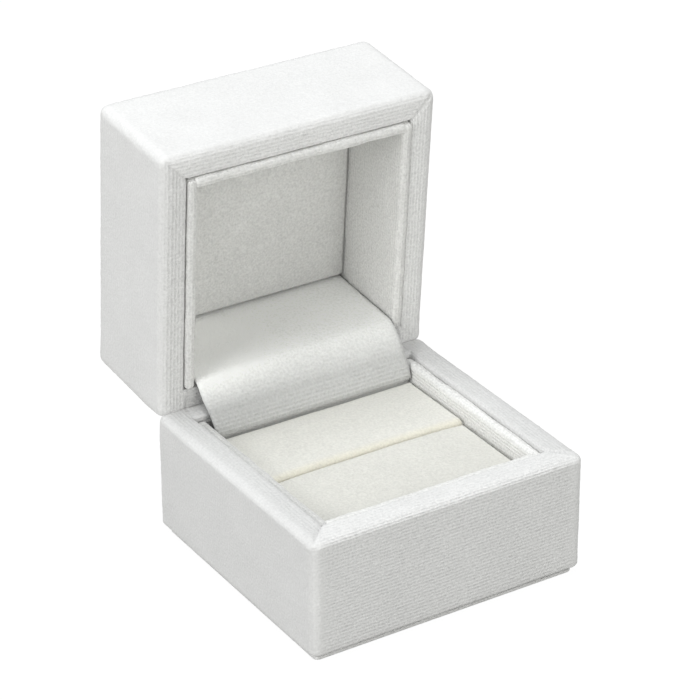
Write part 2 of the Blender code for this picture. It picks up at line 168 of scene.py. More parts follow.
level = math.cos(VIEW_ELEVATION)
back = Vector((math.sin(VIEW_AZIMUTH) * level, -math.cos(VIEW_AZIMUTH) * level, math.sin(VIEW_ELEVATION)))
flat_right = Vector((0.0, 0.0, 1.0)).cross(back).normalized()
flat_up = back.cross(flat_right)
right = math.cos(VIEW_ROLL) * flat_right + math.sin(VIEW_ROLL) * flat_up
up = back.cross(right)
bpy.ops.object.camera_add()
camera = bpy.context.object
camera.name = "camera"
camera.data.lens = LENS
camera.data.sensor_width = SENSOR
spot = VIEW_AIM + VIEW_DISTANCE * back
turned = Matrix((right, up, back)).transposed().to_4x4()
camera.matrix_world = Matrix.Translation(spot) @ turned
bpy.context.scene.camera = camera
bpy.context.scene.view_settings.view_transform = "Standard"


# Velvet on the base.
# One piece of short white velvet is glued round the base boards, over the rim
# and down inside, and turned under at the foot. Its corners are cut to a mitre
# on the rim, and its knitted courses run round the box in fine level lines.
GLUE_LINE = 0.0003
VELVET_THICK = 0.0006
EDGE_ROUND = 0.0016
HINGE_EDGE_SQUARENESS = 2.7
RIM_CROWN = 0.0002
RIM_CROWN_REACH = 0.0032
PILE = 0.00050
REAR_PILE = 0.00080
HINGE_SIDE_EASE = 0.0060
RIM_INNER_ROUND = 0.0007
FOOT_ROUND = 0.0010
TURN_IN = 0.0080
TURN_UNDER = 0.0070
CLOTH_PITCH = 0.0010
MITRE_DEPTH = 0.00035
MITRE_WIDTH = 0.00030
RIB_PITCH = 0.00075
COURSE_FADE = 0.0040
CALM = 0.6
LID_TOP_LINES = 0.05
# Painted shade on the lid's far edge, where it rounds away from the light.
FAR_EDGE_SHADE = 0.12
FAR_EDGE_START = 1.2
COVER_UNEVENNESS = {"wave": 0.00007, "wave_size": 0.008, "fuzz": 0.00006, "fuzz_size": 0.0009}
SAME_PLACE = 1e-6
SAME_WAY = 0.99
UPRIGHT = 0.5


def start_block(name, low, high):
    """A block between two corners, as a fresh object on its own."""
    low, high = Vector(low), Vector(high)
    bpy.ops.object.select_all(action="DESELECT")
    bpy.ops.mesh.primitive_cube_add(size=1.0, location=(low + high) / 2)
    block = bpy.context.object
    block.name = name
    block.data.name = name
    block.scale = high - low
    bpy.ops.object.transform_apply(location=True, rotation=True, scale=True)
    return block


def select_where(piece, kind, wanted):
    """In edit mode, selects the faces or edges that a test picks out."""
    bpy.ops.mesh.select_mode(type=kind)
    bpy.ops.mesh.select_all(action="DESELECT")
    cage = bmesh.from_edit_mesh(piece.data)
    for part in cage.faces if kind == "FACE" else cage.edges:
        part.select_set(wanted(part))
    bmesh.update_edit_mesh(piece.data)


def faces_towards(piece, x, y, z):
    way = Vector((x, y, z))
    select_where(piece, "FACE", lambda face: face.normal.dot(way) > SAME_WAY)


def close(a, b):
    return abs(a - b) < SAME_PLACE


def clamp(value):
    return max(0.0, min(1.0, value))


def round_edges(width, steps):
    """In edit mode, rounds the selected edges."""
    bpy.ops.mesh.bevel(offset=width, segments=steps, profile=0.5, affect="EDGES")


def corners(points):
    """The lowest and highest corners of a set of points."""
    low = Vector(min(point[i] for point in points) for i in range(3))
    high = Vector(max(point[i] for point in points) for i in range(3))
    return low, high


def cut_into_cloth(piece, pitch):
    """Cuts every face along an even grid, so that the cloth can be shaped finely."""
    low, high = corners([vertex.co for vertex in piece.data.vertices])
    bpy.ops.object.mode_set(mode="EDIT")
    for axis in range(3):
        count = max(1, round((high[axis] - low[axis]) / pitch))
        step = (high[axis] - low[axis]) / count
        way = [0.0, 0.0, 0.0]
        way[axis] = 1.0
        for i in range(1, count):
            point = list(low)
            point[axis] = low[axis] + i * step
            bpy.ops.mesh.select_all(action="SELECT")
            bpy.ops.mesh.bisect(plane_co=point, plane_no=way)
    bpy.ops.object.mode_set(mode="OBJECT")


def pick(piece):
    """Selects one piece alone and makes it the active one."""
    bpy.ops.object.select_all(action="DESELECT")
    piece.select_set(True)
    bpy.context.view_layer.objects.active = piece


def apply_modifiers(piece):
    pick(piece)
    for modifier in list(piece.modifiers):
        bpy.ops.object.modifier_apply(modifier=modifier.name)


def refine(piece):
    """Halves the cloth's grid without rounding it."""
    finer = piece.modifiers.new("finer_grid", "SUBSURF")
    finer.subdivision_type = "SIMPLE"
    finer.levels = 1
    finer.render_levels = 1
    apply_modifiers(piece)


def give_thickness(piece, thickness, offset=-1.0, even=True):
    """Makes a wall of a surface: inwards with offset -1, both ways with 0."""
    wall = piece.modifiers.new("thickness", "SOLIDIFY")
    wall.thickness = thickness
    wall.offset = offset
    wall.use_even_offset = even
    apply_modifiers(piece)


def ripple(point, size, seed):
    """Smooth noise from -1 to 1 with features of about the given size."""
    return noise.noise(Vector(point) / size + Vector((seed, seed * 0.37, seed * 0.71)))


def roughen(piece, seed, wave, wave_size, fuzz, fuzz_size):
    """Moves each point along its normal: slow waves of the glue-up, fine unevenness of the pile."""
    normals = [vertex.normal.copy() for vertex in piece.data.vertices]
    for vertex, normal in zip(piece.data.vertices, normals):
        slow = wave * ripple(vertex.co, wave_size, seed)
        fine = fuzz * ripple(vertex.co, fuzz_size, seed + 9.0)
        vertex.co += normal * (slow + fine)


def put_values(piece, name, values):
    """Stores one number for each point of the cloth, for its material to read."""
    store = piece.data.attributes.new(name, "FLOAT", "POINT")
    store.data.foreach_set("value", values)


def put_value(piece, name, value):
    """Stores the same number for every point."""
    put_values(piece, name, [value] * len(piece.data.vertices))


def lay_pile(piece, low, high, rim_up, rim_width, painted_shading, lines):
    """Shapes the wrapped velvet's edges and stores its tone and courses.

    The tones given for each side and each side's rim are painted light and shade: each face is
    made lighter or darker as the light falls on it; lines says how far the courses show on each side.
    """
    rim_z = high.z if rim_up else low.z
    out = 1.0 if rim_up else -1.0
    middle = (low + high) / 2
    half = (high - low) / 2
    core = half - Vector((EDGE_ROUND, EDGE_ROUND, EDGE_ROUND))
    ribs, depths, tones, calms = [], [], [], []
    for vertex in piece.data.vertices:
        above_foot = max(0.0, vertex.co.z - low.z) / FOOT_ROUND
        if rim_up and above_foot < 1.0:
            tucked = FOOT_ROUND * (1.0 - math.sqrt(1.0 - (1.0 - above_foot) ** 2))
            past = [max(0.0, abs(vertex.co[i] - middle[i]) - core[i]) for i in range(2)]
            spread = math.hypot(*past)
            if spread > EDGE_ROUND - tucked:
                for i in range(2):
                    edge = core[i] + past[i] * (EDGE_ROUND - tucked) / spread
                    if past[i] > 0.0:
                        vertex.co[i] = middle[i] + math.copysign(edge, vertex.co[i] - middle[i])
        to_x = half.x - abs(vertex.co.x - middle.x)
        to_y = half.y - abs(vertex.co.y - middle.y)
        inset = max(0.0, min(to_x, to_y))
        drop = abs(vertex.co.z - rim_z)
        over_rim = min(1.0, inset / EDGE_ROUND) * max(0.0, 1.0 - drop / EDGE_ROUND)
        behind = vertex.co.y > middle.y
        on_side = to_x < (rim_width if behind and drop < EDGE_ROUND else to_y)
        end = "rear" if behind else "front"
        side = ("left" if vertex.co.x < middle.x else "right") if on_side else end
        # Painted shade: the lid's far edge is darkened where it rounds away from the light.
        past_far = clamp((drop - 2.0 * half.z) / EDGE_ROUND + FAR_EDGE_START)
        far_edge = 0.0 if rim_up else past_far * max(0.0, 1.0 - inset / EDGE_ROUND)
        # Painted light and shade: each side and its rim take their own tone.
        tone = painted_shading[side] + (painted_shading[side + "_rim"] - painted_shading[side]) * over_rim
        tones.append(tone * (1.0 - FAR_EDGE_SHADE * far_edge))
        out_by = [max(0.0, abs(vertex.co[i] - middle[i]) - core[i]) for i in range(3)]
        if rim_up and vertex.co.z < middle.z:
            out_by[2] = 0.0
        size = sum(part**HINGE_EDGE_SQUARENESS for part in out_by) ** (1.0 / HINGE_EDGE_SQUARENESS)
        if size > 0.0:
            ease = clamp((high.y - vertex.co.y) / HINGE_SIDE_EASE)
            squarer = (Vector(out_by).length / size) ** (1.0 - ease)
            off_foot = min(1.0, (vertex.co.z - low.z) / FOOT_ROUND) if rim_up else 1.0
            thicker = 1.0 + off_foot * PILE / EDGE_ROUND
            off_rim = min(1.0, drop / HINGE_SIDE_EASE)
            backwards = 1.0 + off_rim * off_foot * REAR_PILE / EDGE_ROUND
            lifts = (thicker, backwards if behind else thicker, 1.0 if drop < half.z else thicker)
            for i in range(3):
                if out_by[i] > 0.0:
                    edge = core[i] + out_by[i] * squarer * lifts[i]
                    vertex.co[i] = middle[i] + math.copysign(edge, vertex.co[i] - middle[i])
            if drop < half.z:
                roll = max(0.0, 1.0 - inset / RIM_CROWN_REACH) ** 2
                vertex.co.z -= out * RIM_CROWN * ease * roll * out_by[2] / EDGE_ROUND
        across = max(0.0, to_x) if on_side else inset
        ribs.append(across + drop if inset > rim_width - VELVET_THICK else across - drop)
        fade = 1.0 if on_side else min(1.0, max(0.0, to_x) / COURSE_FADE)
        shown = lines[side] * fade + (lines["rim"] - lines[side] * fade) * over_rim
        if not rim_up and drop > 2.0 * half.z - EDGE_ROUND:
            shown = LID_TOP_LINES
        depths.append(shown)
        calms.append(CALM * (1.0 - shown))
        seam = abs(to_x - to_y) / math.sqrt(2.0)
        if inset < rim_width and drop < EDGE_ROUND and not behind:
            vertex.co.z -= out * MITRE_DEPTH * over_rim * math.exp(-((seam / MITRE_WIDTH) ** 2))
    put_values(piece, "rib", ribs)
    put_values(piece, "rib_depth", depths)
    put_values(piece, "painted_shading", tones)
    put_values(piece, "calm", calms)


def wrapped_velvet(name, low, high, rim_up, rim_width, notch, painted_shading, lines):
    """Velvet wrapped round a box, over its rim and down inside, with a notch for the hinge."""
    low, high = Vector(low), Vector(high)
    piece = start_block(name, low, high)
    rim_z = high.z if rim_up else low.z
    out = 1.0 if rim_up else -1.0
    bpy.ops.object.mode_set(mode="EDIT")
    faces_towards(piece, 0.0, 0.0, out)
    bpy.ops.mesh.inset(thickness=rim_width, use_even_offset=True)
    bpy.ops.mesh.extrude_region_move(TRANSFORM_OT_translate={"value": (0.0, 0.0, -out * TURN_IN)})
    bpy.ops.mesh.delete(type="FACE")
    if rim_up:
        faces_towards(piece, 0.0, 0.0, -1.0)
        bpy.ops.mesh.inset(thickness=TURN_UNDER, use_even_offset=True)
        bpy.ops.mesh.delete(type="FACE")

    def on_outside(vertex):
        return (
            close(vertex.co.x, low.x)
            or close(vertex.co.x, high.x)
            or close(vertex.co.y, low.y)
            or close(vertex.co.y, high.y)
        )

    def at(edge, z):
        return all(close(v.co.z, z) for v in edge.verts)

    def inner_rim(edge):
        return at(edge, rim_z) and not any(on_outside(v) for v in edge.verts)

    def outer(edge):
        foot = rim_up and at(edge, low.z)
        return all(on_outside(v) for v in edge.verts) and not foot

    def foot_outline(edge):
        return at(edge, low.z) and any(abs(face.normal.z) < UPRIGHT for face in edge.link_faces)

    select_where(piece, "EDGE", inner_rim)
    round_edges(RIM_INNER_ROUND, steps=5)
    select_where(piece, "EDGE", outer)
    round_edges(EDGE_ROUND, steps=8)
    if rim_up:
        select_where(piece, "EDGE", foot_outline)
        round_edges(FOOT_ROUND, steps=4)
    bpy.ops.mesh.select_all(action="SELECT")
    bpy.ops.mesh.normals_make_consistent(inside=False)
    notch_low, notch_high = notch
    for axis in (0, 2):
        for corner in (notch_low, notch_high):
            way = [0.0, 0.0, 0.0]
            way[axis] = 1.0
            bpy.ops.mesh.select_all(action="SELECT")
            bpy.ops.mesh.bisect(plane_co=corner, plane_no=way)

    def in_notch(face):
        middle = face.calc_center_median()
        return all(notch_low[i] < middle[i] < notch_high[i] for i in range(3))

    select_where(piece, "FACE", in_notch)
    bpy.ops.mesh.delete(type="FACE")
    bpy.ops.object.mode_set(mode="OBJECT")
    cut_into_cloth(piece, CLOTH_PITCH)
    refine(piece)
    lay_pile(piece, low, high, rim_up, rim_width, painted_shading, lines)
    return piece


joint = frame["record"]["behaviour"]["joints"][0]
hinge = Vector(joint["pos_m"])
open_angle = math.radians(joint["range_deg"][1])
leaf_low, leaf_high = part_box("hinge_base_leaf")
base_low, base_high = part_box("base_cover")
rim_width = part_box("base_left_lining")[0][0] - base_low[0] - GLUE_LINE
notch_half = leaf_high[0] + GLUE_LINE
notch_reach = leaf_high[2] - hinge.z + GLUE_LINE
notch_front = leaf_low[1] - GLUE_LINE
base_notch = (
    Vector((-notch_half, notch_front, hinge.z - notch_reach)),
    Vector((notch_half, base_high[1] + GLUE_LINE, hinge.z + notch_reach)),
)
# Painted light and shade on the base cover: each side and rim is made lighter or darker as the light
# falls on it.
base_painted_shading = {
    "front": 0.97,
    "rear": 0.97,
    "left": 0.93,
    "right": 0.93,
    "front_rim": 0.97,
    "rear_rim": 0.92,
    "left_rim": 0.84,
    "right_rim": 0.87,
}
base_lines = {"front": 1.0, "rear": 1.0, "left": 0.1, "right": 0.1, "rim": 0.5}
base_velvet = wrapped_velvet(
    "base_velvet", base_low, base_high, True, rim_width, base_notch, base_painted_shading, base_lines
)
roughen(base_velvet, 1.0, **COVER_UNEVENNESS)
give_thickness(base_velvet, VELVET_THICK, even=False)
bpy.ops.object.shade_smooth()


def new_group(name, inputs, outputs):
    """A shader node group with named sockets; inputs map a name to its kind and value."""
    group = bpy.data.node_groups.new(name, "ShaderNodeTree")
    for label, (kind, value) in inputs.items():
        socket = group.interface.new_socket(label, in_out="INPUT", socket_type=kind)
        socket.default_value = value
    for label, kind in outputs.items():
        group.interface.new_socket(label, in_out="OUTPUT", socket_type=kind)
    return group, group.nodes.new("NodeGroupInput"), group.nodes.new("NodeGroupOutput")


def number(tree, operation, first, second):
    """A math node fed by sockets or plain numbers."""
    node = tree.nodes.new("ShaderNodeMath")
    node.operation = operation
    for socket, value in zip(node.inputs, (first, second)):
        if isinstance(value, (int, float)):
            socket.default_value = value
        else:
            tree.links.new(value, socket)
    return node.outputs["Value"]


def grain(tree, scale, detail):
    """Noise on the piece's own coordinates, centred on nought."""
    place = tree.nodes.new("ShaderNodeTexCoord")
    speck = tree.nodes.new("ShaderNodeTexNoise")
    tree.links.new(place.outputs["Object"], speck.inputs["Vector"])
    speck.inputs["Scale"].default_value = scale
    speck.inputs["Detail"].default_value = detail
    return number(tree, "SUBTRACT", speck.outputs["Fac"], 0.5)


BRUSH_SCALE = 110.0
TUFT_SCALE = 2100.0
WANDER_SCALE = 500.0
BREAK_SCALE = 900.0
BREAK_DEPTH = 1.6
CLOTH_ROUGHNESS = 0.95
CLOTH_SHINE = 0.15
SHEEN_ROUGHNESS = 0.45

pile_group, pile_in, pile_out = new_group(
    "velvet_pile",
    {
        "Tone": ("NodeSocketColor", (0.8, 0.8, 0.8, 1.0)),
        "Painted Shading": ("NodeSocketFloat", 1.0),
        "Mottle": ("NodeSocketFloat", 0.1),
        "Speckle": ("NodeSocketFloat", 0.2),
        "Calm": ("NodeSocketFloat", 0.0),
    },
    {"Colour": "NodeSocketColor", "Height": "NodeSocketFloat"},
)
brushed = number(
    pile_group, "MULTIPLY", grain(pile_group, BRUSH_SCALE, detail=3.0), pile_in.outputs["Mottle"]
)
stirred = number(pile_group, "SUBTRACT", 1.0, pile_in.outputs["Calm"])
tufts = number(pile_group, "MULTIPLY", grain(pile_group, TUFT_SCALE, detail=2.0), stirred)
flecks = number(pile_group, "MULTIPLY", tufts, pile_in.outputs["Speckle"])
uneven = number(pile_group, "ADD", brushed, flecks)
varied = number(pile_group, "ADD", uneven, 1.0)
# The shading input multiplies the colour by the painted light and shade stored on each piece.
shade = number(pile_group, "MULTIPLY", varied, pile_in.outputs["Painted Shading"])
toned = pile_group.nodes.new("ShaderNodeVectorMath")
toned.operation = "SCALE"
pile_group.links.new(pile_in.outputs["Tone"], toned.inputs[0])
pile_group.links.new(shade, toned.inputs["Scale"])
pile_group.links.new(toned.outputs["Vector"], pile_out.inputs["Colour"])
pile_group.links.new(tufts, pile_out.inputs["Height"])

rib_group, rib_in, rib_out = new_group(
    "knitted_courses",
    {
        "Along": ("NodeSocketFloat", 0.0),
        "Depth": ("NodeSocketFloat", 1.0),
        "Pitch": ("NodeSocketFloat", RIB_PITCH),
        "Wander": ("NodeSocketFloat", 0.2),
    },
    {"Height": "NodeSocketFloat"},
)
wander = number(
    rib_group, "MULTIPLY", grain(rib_group, WANDER_SCALE, detail=2.0), rib_in.outputs["Wander"]
)
straight = number(rib_group, "DIVIDE", rib_in.outputs["Along"], rib_in.outputs["Pitch"])
turns = number(rib_group, "ADD", straight, wander)
wave = number(rib_group, "SINE", number(rib_group, "MULTIPLY", turns, math.tau), 0.0)
breaks = number(rib_group, "MULTIPLY", grain(rib_group, BREAK_SCALE, detail=1.0), BREAK_DEPTH)
broken = number(rib_group, "ADD", breaks, 1.0)
uneven_wave = number(rib_group, "MULTIPLY", wave, broken)
deep = number(rib_group, "MULTIPLY", uneven_wave, rib_in.outputs["Depth"])
rib_group.links.new(deep, rib_out.inputs["Height"])


def velvet(name, tone, mottle, speckle, pile_lift, rib_lift, rib_shade=0.0, sheen=0.25, warmth=None):
    """Velvet: mottled pile, with the courses of its ground showing through where rib_depth says so.

    warmth is the tint that the stored value "warm" brings in, where light goes from fold to fold.
    """
    cloth = bpy.data.materials.new(name)
    cloth.use_nodes = True
    tree = cloth.node_tree
    shader = tree.nodes["Principled BSDF"]
    shader.inputs["Roughness"].default_value = CLOTH_ROUGHNESS
    shader.inputs["Specular IOR Level"].default_value = CLOTH_SHINE
    shader.inputs["Sheen Weight"].default_value = sheen
    shader.inputs["Sheen Roughness"].default_value = SHEEN_ROUGHNESS
    pile = tree.nodes.new("ShaderNodeGroup")
    pile.node_tree = pile_group
    pile.inputs["Tone"].default_value = (*tone, 1.0)
    pile.inputs["Mottle"].default_value = mottle
    pile.inputs["Speckle"].default_value = speckle
    courses = tree.nodes.new("ShaderNodeGroup")
    courses.node_tree = rib_group
    for value, socket in (
        ("rib", courses.inputs["Along"]),
        ("rib_depth", courses.inputs["Depth"]),
        ("painted_shading", pile.inputs["Painted Shading"]),
        ("calm", pile.inputs["Calm"]),
    ):
        stored = tree.nodes.new("ShaderNodeAttribute")
        stored.attribute_name = value
        tree.links.new(stored.outputs["Fac"], socket)
    lined = tree.nodes.new("ShaderNodeVectorMath")
    lined.operation = "SCALE"
    lines = number(tree, "ADD", number(tree, "MULTIPLY", courses.outputs["Height"], rib_shade), 1.0)
    tree.links.new(pile.outputs["Colour"], lined.inputs[0])
    tree.links.new(lines, lined.inputs["Scale"])
    colour = lined.outputs["Vector"]
    if warmth:
        folds = tree.nodes.new("ShaderNodeAttribute")
        folds.attribute_name = "warm"
        warmed = tree.nodes.new("ShaderNodeMix")
        warmed.data_type = "RGBA"
        warmed.blend_type = "MULTIPLY"
        warmed.inputs["B"].default_value = (*warmth, 1.0)
        tree.links.new(folds.outputs["Fac"], warmed.inputs["Factor"])
        tree.links.new(colour, warmed.inputs["A"])
        colour = warmed.outputs["Result"]
    tree.links.new(colour, shader.inputs["Base Color"])
    tufts_up = number(tree, "MULTIPLY", pile.outputs["Height"], pile_lift)
    courses_up = number(tree, "MULTIPLY", courses.outputs["Height"], rib_lift)
    raised = tree.nodes.new("ShaderNodeBump")
    raised.inputs["Strength"].default_value = 1.0
    raised.inputs["Distance"].default_value = 1.0
    tree.links.new(number(tree, "ADD", tufts_up, courses_up), raised.inputs["Height"])
    tree.links.new(raised.outputs["Normal"], shader.inputs["Normal"])
    return cloth


white_velvet = velvet(
    "white_velvet",
    tone=(0.80, 0.80, 0.795),
    mottle=0.10,
    speckle=0.50,
    pile_lift=0.00022,
    rib_lift=0.00004,
    rib_shade=0.045,
)


def dress(piece, cloth, slot, body, *stands_for):
    """Gives a finished piece its cloth, hangs it on its body if it has one, and hides the parts it stands
    for.
    """
    piece.data.materials.clear()
    piece.data.materials.append(cloth)
    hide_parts(*stands_for)
    if body:
        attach(piece, body)


dress(base_velvet, white_velvet, "white_velvet", "base", "base_cover")


# Bottom panel.
# A thin card faced with the same velvet closes the foot of the base. It is
# pressed on over the turned-under edges and shows as a narrow band.
PANEL_CORNER = 0.0012
PANEL_EDGE = 0.00030
PANEL_SAG = 0.00010
PANEL_SAG_FROM = 0.0004
PANEL_SAG_SIZE = 0.006
PANEL_LINES = 0.6
bottom_low, bottom_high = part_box("base_bottom_panel")
bottom_panel = start_block("bottom_panel", bottom_low, bottom_high)


def is_level(edge):
    return close(edge.verts[0].co.z, edge.verts[1].co.z)


bpy.ops.object.mode_set(mode="EDIT")
select_where(bottom_panel, "EDGE", lambda edge: not is_level(edge))
round_edges(PANEL_CORNER, steps=6)
select_where(bottom_panel, "EDGE", is_level)
round_edges(PANEL_EDGE, steps=3)
bpy.ops.object.mode_set(mode="OBJECT")
cut_into_cloth(bottom_panel, 2 * CLOTH_PITCH)
for vertex in bottom_panel.data.vertices:
    if vertex.co.z > bottom_low[2] + PANEL_SAG_FROM:
        vertex.co.z -= PANEL_SAG * (1.0 + ripple(vertex.co, PANEL_SAG_SIZE, 4.0))
put_values(bottom_panel, "rib", [vertex.co.x for vertex in bottom_panel.data.vertices])
put_value(bottom_panel, "rib_depth", PANEL_LINES)
put_value(bottom_panel, "painted_shading", 1.0)
bpy.ops.object.shade_smooth()
dress(bottom_panel, white_velvet, "white_velvet", "base", "base_bottom_panel")


# Linings of the base.
# Thin boards with a little wadding under grey-white velvet stand against the
# inside of the walls, just below the rim, their edges soft and round.
LINING_ROUND = 0.00075
LINING_PITCH = 0.0008
LINING_PRESS = 0.0002
LINING_TUCK = 0.0009
LINING_BAND = 0.0030
LINING_FACE_LINES = 0.25
LINING_BAND_PAINTED_LIGHT = 1.08
LINING_FACE_TONE = 1.06
BASE_LEFT_PAINTED_SHADE = 0.82
lining_velvet = velvet(
    "lining_velvet",
    tone=(0.79, 0.79, 0.775),
    mottle=0.10,
    speckle=0.55,
    pile_lift=0.00022,
    rib_lift=0.00004,
    rib_shade=0.045,
)


def padded_lining(name, low, high, side, seed, tone=1.0):
    """A padded board pressed to its wall; the front one's ends are tucked into the side ones."""
    low, high = Vector(low), Vector(high)
    if side == "front":
        low -= Vector((LINING_TUCK, LINING_PRESS, 0.0))
        high += Vector((LINING_TUCK, 0.0, 0.0))
    elif side == "left":
        low.x -= LINING_PRESS
    else:
        high.x += LINING_PRESS
    piece = start_block(name, low, high)
    bpy.ops.object.mode_set(mode="EDIT")
    bpy.ops.mesh.select_all(action="SELECT")
    round_edges(LINING_ROUND, steps=5)
    bpy.ops.object.mode_set(mode="OBJECT")
    cut_into_cloth(piece, LINING_PITCH)
    thin_axis = min(range(3), key=lambda axis: high[axis] - low[axis])
    ribs = []
    for vertex in piece.data.vertices:
        edge = min(vertex.co[2] - low[2], high[2] - vertex.co[2])
        ribs.append(edge + (vertex.co[thin_axis] - low[thin_axis]))
    put_values(piece, "rib", ribs)
    # Painted light: the band along the lining's edges is made lighter than its face.
    in_band = [rib < LINING_BAND for rib in ribs]
    put_values(piece, "rib_depth", [1.0 if near else LINING_FACE_LINES for near in in_band])
    put_values(piece, "painted_shading", [tone * (LINING_BAND_PAINTED_LIGHT if near else LINING_FACE_TONE) for near in in_band])
    roughen(piece, seed, wave=0.00018, wave_size=0.005, fuzz=0.00010, fuzz_size=0.0010)
    bpy.ops.object.shade_smooth()
    return piece


for seed, side in enumerate(("front", "left", "right")):
    node = f"base_{side}_lining"
    low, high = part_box(node)
    # Painted shade: the left lining is made darker, as less light falls on it.
    tone = BASE_LEFT_PAINTED_SHADE if side == "left" else 1.0
    lining = padded_lining(f"base_{side}_padding", low, high, side, 11.0 + seed, tone)
    dress(lining, lining_velvet, "lining_velvet", "base", node)


# Ring cushion.
# Two foam blocks in cream velvet with the ring's slot between them. The rear
# one stands a little higher and its velvet rolls over into the slot.
PAD_PITCH = 0.0008
PAD_CROWN = 0.0005
PAD_CROWN_FROM = 0.6
PAD_DIMPLE = 0.00012
PAD_DIMPLE_SIZE = 0.011
PAD_DIMPLE_FROM = 0.7
PAD_DRAW_IN = 0.0003
PAD_ROUND = 0.0008
ROLL_ROUND = 0.0013
SLOT_PRESS = 0.0004
SLOT_GLOW_WIDTH = 0.0015
FRONT_PAD_PAINTED_SHADE = 0.96
REAR_PAD_PAINTED_LIGHT = 1.025
SLOT_GLOW = (1.0, 0.975, 0.90)
cream_velvet = velvet(
    "cream_velvet",
    tone=(0.745, 0.74, 0.695),
    mottle=0.10,
    speckle=0.34,
    pile_lift=0.00018,
    rib_lift=0.0,
    rib_shade=0.0,
    sheen=0.15,
    warmth=SLOT_GLOW,
)
seat_low = Vector(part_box("front_pad_cover")[0])
seat_high = Vector(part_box("rear_pad_cover")[1])
slot_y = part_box("rear_pad_cover")[0][1]


def cushion(name, low, high, roll_y, seed, tone):
    """Half of the ring cushion: crowned over the whole seat, with a wide round edge at roll_y."""
    low, high = Vector(low), Vector(high)
    piece = start_block(name, low, high)
    bpy.ops.object.mode_set(mode="EDIT")

    def top_edge(edge):
        return all(close(v.co.z, high.z) for v in edge.verts)

    def rolled(edge):
        return top_edge(edge) and all(close(v.co.y, roll_y) for v in edge.verts)

    select_where(piece, "EDGE", rolled)
    round_edges(ROLL_ROUND, steps=6)

    def plain(edge):
        beside_roll = all(abs(v.co.y - roll_y) < 2 * ROLL_ROUND for v in edge.verts)
        return top_edge(edge) and not beside_roll

    select_where(piece, "EDGE", plain)
    round_edges(PAD_ROUND, steps=4)
    bpy.ops.object.mode_set(mode="OBJECT")
    cut_into_cloth(piece, PAD_PITCH)
    middle, half = (seat_low + seat_high) / 2, (seat_high - seat_low) / 2
    for vertex in piece.data.vertices:
        across = (vertex.co.x - middle.x) / half.x
        along = (vertex.co.y - middle.y) / half.y
        rise = (vertex.co.z - low.z) / (high.z - low.z)
        swell = (1.0 - across**4) * (1.0 - along**4)
        raised = max(0.0, rise - PAD_CROWN_FROM)
        vertex.co.z -= PAD_CROWN * (1.0 - swell) * raised / (1.0 - PAD_CROWN_FROM)
        vertex.co.x -= PAD_DRAW_IN * across**5 * (1.0 - along**2)
        vertex.co.y -= PAD_DRAW_IN * along**5 * (1.0 - across**2)
        if rise > PAD_DIMPLE_FROM:
            vertex.co.z -= PAD_DIMPLE * (1.0 + ripple(vertex.co, PAD_DIMPLE_SIZE, seed))
    put_value(piece, "rib", 0.0)
    put_value(piece, "rib_depth", 0.0)
    put_value(piece, "painted_shading", tone)
    from_slot = [abs(vertex.co.y - slot_y) / SLOT_GLOW_WIDTH for vertex in piece.data.vertices]
    put_values(piece, "warm", [max(0.0, 1.0 - far) for far in from_slot])
    bpy.ops.object.shade_smooth()
    return piece


for seed, side in enumerate(("front", "rear")):
    low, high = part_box(f"{side}_pad_cover")
    low, high = Vector(low), Vector(high)
    if side == "rear":
        low.y -= SLOT_PRESS
    rolled_side = low.y if side == "rear" else slot_y - 1.0
    # Painted light and shade: the rear cushion is made lighter and the front one darker, though both are
    # the same cream velvet.
    tone = REAR_PAD_PAINTED_LIGHT if side == "rear" else FRONT_PAD_PAINTED_SHADE
    pad = cushion(f"{side}_cushion", low, high, rolled_side, 21.0 + seed, tone)
    dress(pad, cream_velvet, "cream_velvet", "base", f"{side}_pad_cover")


# Velvet on the lid.
# The lid is wrapped as the base is, with its top closed. It is shaped shut and
# then swung up about the hinge to where it stands open.
to_open = (
    Matrix.Translation(hinge) @ Matrix.Rotation(-open_angle, 4, "X") @ Matrix.Translation(-hinge)
)
to_shut = to_open.inverted()


def shut_box(node):
    """A lid node's lowest and highest corners with the lid shut."""
    return corners([to_shut @ vertex.co for vertex in frame["nodes"][node].data.vertices])


def swing_open(piece):
    pick(piece)
    piece.matrix_world = to_open
    bpy.ops.object.transform_apply(location=True, rotation=True, scale=True)


lid_low, lid_high = shut_box("lid_cover")
lid_notch = (
    Vector((-notch_half, notch_front, hinge.z - notch_reach)),
    Vector((notch_half, lid_high.y + GLUE_LINE, hinge.z + notch_reach)),
)
# Painted light and shade on the lid cover: each side and rim is made lighter or darker as the light falls
# on it.
lid_painted_shading = {
    "front": 0.99,
    "rear": 1.0,
    "left": 1.0,
    "right": 1.0,
    "front_rim": 1.09,
    "rear_rim": 0.86,
    "left_rim": 0.98,
    "right_rim": 1.12,
}
lid_lines = {"front": 0.05, "rear": 1.0, "left": 0.1, "right": 0.1, "rim": 1.0}
lid_velvet = wrapped_velvet(
    "lid_velvet", lid_low, lid_high, False, rim_width, lid_notch, lid_painted_shading, lid_lines
)
roughen(lid_velvet, 2.0, **COVER_UNEVENNESS)
give_thickness(lid_velvet, VELVET_THICK, even=False)
bpy.ops.object.shade_smooth()
swing_open(lid_velvet)
dress(lid_velvet, white_velvet, "white_velvet", "lid", "lid_cover")


# Linings of the lid.
# The same padded boards, standing a little proud of the lid's rim, so that
# they drop inside the base's rim and centre the lid when it shuts.
LID_LEFT_PAINTED_SHADE = 0.93
for seed, side in enumerate(("front", "left", "right")):
    node = f"lid_{side}_lining"
    low, high = shut_box(node)
    # Painted shade: the left lining is made darker, as less light falls on it.
    tone = LID_LEFT_PAINTED_SHADE if side == "left" else 1.0
    lining = padded_lining(f"lid_{side}_padding", low, high, side, 31.0 + seed, tone)
    swing_open(lining)
    dress(lining, lining_velvet, "lining_velvet", "lid", node)


